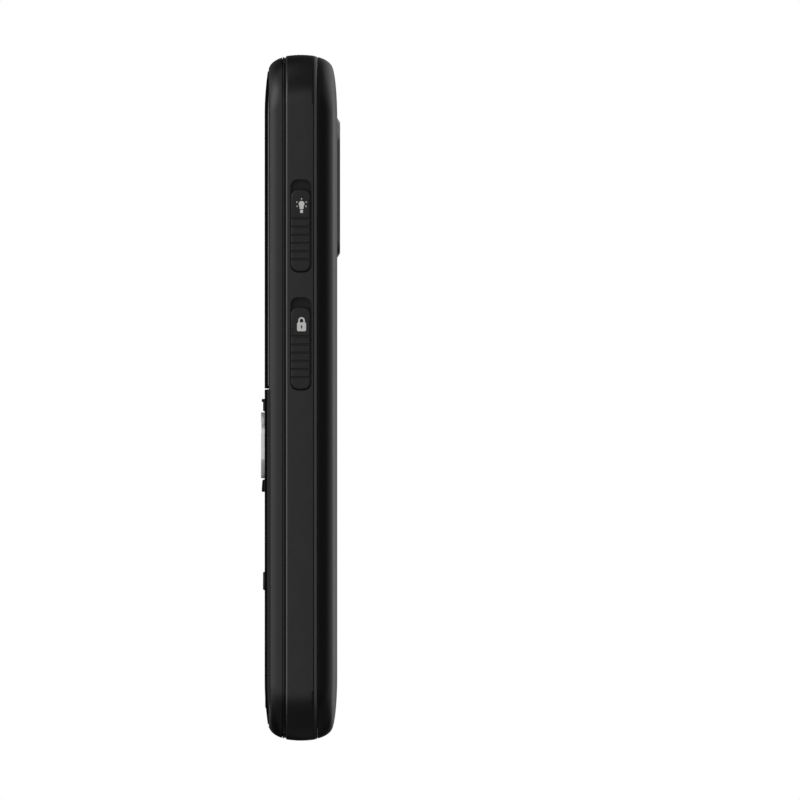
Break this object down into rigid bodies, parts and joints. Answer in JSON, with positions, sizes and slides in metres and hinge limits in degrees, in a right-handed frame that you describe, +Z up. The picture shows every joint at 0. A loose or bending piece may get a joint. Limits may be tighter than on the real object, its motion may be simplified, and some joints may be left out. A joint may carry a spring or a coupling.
{
  "type": "keypad mobile phone",
  "caption": "Bar mobile phone with large pressed keys, a rocking navigation key, two side sliders, a volume rocker and a camera island with a call button on its battery cover.",
  "frame": {"origin": "middle of the bottom end, on the ground plane, halfway between the widest points", "axes": "+Z up the phone's length, -Y out of the display and the keys, +Y out of the battery cover, +X towards the side with the two sliders"},
  "size_m": [0.0604, 0.0154, 0.134],
  "materials": {
    "shell": "fine matt texture",
    "front_gloss": "glossy",
    "key": "soft satin",
    "chrome_trim": "polished",
    "sheet_steel": "rolled",
    "clear": "clear",
    "board": "solder mask",
    "mat_rubber": "matt",
    "white_plastic": "matt",
    "battery_wrap": "matt wrap"
  },
  "bodies": {
    "handset": {"front_shell": "shell", "mid_frame": "shell", "display_lens": "front_gloss", "keypad_bezel": "front_gloss", "earpiece_mesh": "sheet_steel", "lcd_panel": "front_gloss", "lcd_tray": "sheet_steel", "keypad_mat": "mat_rubber", "dome_sheet": "sheet_steel", "main_board": "board", "shield_can": "sheet_steel", "earpiece": "sheet_steel", "microphone": "sheet_steel", "torch_switch": "sheet_steel", "lock_switch": "sheet_steel", "volume_switch": "sheet_steel", "back_island_plate": "front_gloss", "camera_window": "clear", "camera_module": "front_gloss", "sos_switch": "sheet_steel", "battery": "battery_wrap", "battery_contacts": "front_gloss", "sim_holder": "sheet_steel", "sim_card": "white_plastic", "loudspeaker": "front_gloss", "vibration_motor": "sheet_steel", "usb_socket": "sheet_steel", "headphone_socket": "front_gloss", "torch_lens": "clear", "torch_led": "white_plastic", "screw_top_left": "sheet_steel", "screw_top_right": "sheet_steel", "screw_middle_left": "sheet_steel", "screw_middle_right": "sheet_steel"},
    "battery_cover": {"battery_cover": "shell"},
    "torch_slider": {"torch_slider": "key"},
    "lock_slider": {"lock_slider": "key"},
    "volume_rocker": {"volume_rocker": "key"},
    "nav_rocker": {"nav_rocker": "key"},
    "ok_key": {"ok_key": "key", "ok_trim_ring": "chrome_trim"},
    "soft_key_left": {"soft_key_left": "key"},
    "soft_key_right": {"soft_key_right": "key"},
    "call_key": {"call_key": "key"},
    "end_key": {"end_key": "key"},
    "key_1": {"key_1": "key"},
    "key_2": {"key_2": "key"},
    "key_3": {"key_3": "key"},
    "key_4": {"key_4": "key"},
    "key_5": {"key_5": "key"},
    "key_6": {"key_6": "key"},
    "key_7": {"key_7": "key"},
    "key_8": {"key_8": "key"},
    "key_9": {"key_9": "key"},
    "key_star": {"key_star": "key"},
    "key_0": {"key_0": "key"},
    "key_hash": {"key_hash": "key"},
    "sos_button": {"sos_button": "key"},
    "motor_weight": {"motor_weight": "sheet_steel"}
  },
  "joints": [
    {"name": "cover_off", "type": "slide", "parent": "handset", "child": "battery_cover", "axis": [0, 1, 0], "range_m": [0, 0.015]},
    {"name": "torch_slide", "type": "slide", "parent": "handset", "child": "torch_slider", "axis": [0, 0, 1], "range_m": [0, 0.0018]},
    {"name": "lock_slide", "type": "slide", "parent": "handset", "child": "lock_slider", "axis": [0, 0, 1], "range_m": [0, 0.0018], "stiffness_N_per_m": 150},
    {"name": "volume_rock", "type": "hinge", "parent": "handset", "child": "volume_rocker", "pos_m": [-0.0278, 0.00007, 0.098], "axis": [0, 1, 0], "range_deg": [-3, 3], "stiffness_Nm_per_rad": 0.02},
    {"name": "nav_rock", "type": "hinge", "parent": "handset", "child": "nav_rocker", "pos_m": [0, -0.00527, 0.0577], "axis": [1, 0, 0], "range_deg": [-3, 3], "stiffness_Nm_per_rad": 0.03},
    {"name": "ok_press", "type": "slide", "parent": "handset", "child": "ok_key", "axis": [0, 1, 0], "range_m": [0, 0.0004], "stiffness_N_per_m": 4000},
    {"name": "soft_left_press", "type": "slide", "parent": "handset", "child": "soft_key_left", "axis": [0, 1, 0], "range_m": [0, 0.0004], "stiffness_N_per_m": 4000},
    {"name": "soft_right_press", "type": "slide", "parent": "handset", "child": "soft_key_right", "axis": [0, 1, 0], "range_m": [0, 0.0004], "stiffness_N_per_m": 4000},
    {"name": "call_press", "type": "slide", "parent": "handset", "child": "call_key", "axis": [0, 1, 0], "range_m": [0, 0.0004], "stiffness_N_per_m": 4000},
    {"name": "end_press", "type": "slide", "parent": "handset", "child": "end_key", "axis": [0, 1, 0], "range_m": [0, 0.0004], "stiffness_N_per_m": 4000},
    {"name": "key_1_press", "type": "slide", "parent": "handset", "child": "key_1", "axis": [0, 1, 0], "range_m": [0, 0.0004], "stiffness_N_per_m": 4000},
    {"name": "key_2_press", "type": "slide", "parent": "handset", "child": "key_2", "axis": [0, 1, 0], "range_m": [0, 0.0004], "stiffness_N_per_m": 4000},
    {"name": "key_3_press", "type": "slide", "parent": "handset", "child": "key_3", "axis": [0, 1, 0], "range_m": [0, 0.0004], "stiffness_N_per_m": 4000},
    {"name": "key_4_press", "type": "slide", "parent": "handset", "child": "key_4", "axis": [0, 1, 0], "range_m": [0, 0.0004], "stiffness_N_per_m": 4000},
    {"name": "key_5_press", "type": "slide", "parent": "handset", "child": "key_5", "axis": [0, 1, 0], "range_m": [0, 0.0004], "stiffness_N_per_m": 4000},
    {"name": "key_6_press", "type": "slide", "parent": "handset", "child": "key_6", "axis": [0, 1, 0], "range_m": [0, 0.0004], "stiffness_N_per_m": 4000},
    {"name": "key_7_press", "type": "slide", "parent": "handset", "child": "key_7", "axis": [0, 1, 0], "range_m": [0, 0.0004], "stiffness_N_per_m": 4000},
    {"name": "key_8_press", "type": "slide", "parent": "handset", "child": "key_8", "axis": [0, 1, 0], "range_m": [0, 0.0004], "stiffness_N_per_m": 4000},
    {"name": "key_9_press", "type": "slide", "parent": "handset", "child": "key_9", "axis": [0, 1, 0], "range_m": [0, 0.0004], "stiffness_N_per_m": 4000},
    {"name": "key_star_press", "type": "slide", "parent": "handset", "child": "key_star", "axis": [0, 1, 0], "range_m": [0, 0.0004], "stiffness_N_per_m": 4000},
    {"name": "key_0_press", "type": "slide", "parent": "handset", "child": "key_0", "axis": [0, 1, 0], "range_m": [0, 0.0004], "stiffness_N_per_m": 4000},
    {"name": "key_hash_press", "type": "slide", "parent": "handset", "child": "key_hash", "axis": [0, 1, 0], "range_m": [0, 0.0004], "stiffness_N_per_m": 4000},
    {"name": "sos_press", "type": "slide", "parent": "handset", "child": "sos_button", "axis": [0, -1, 0], "range_m": [0, 0.0005], "stiffness_N_per_m": 3000},
    {"name": "weight_spin", "type": "hinge", "parent": "handset", "child": "motor_weight", "pos_m": [0.00915, 0.00363, 0.0175], "axis": [1, 0, 0], "continuous": true}
  ]
}
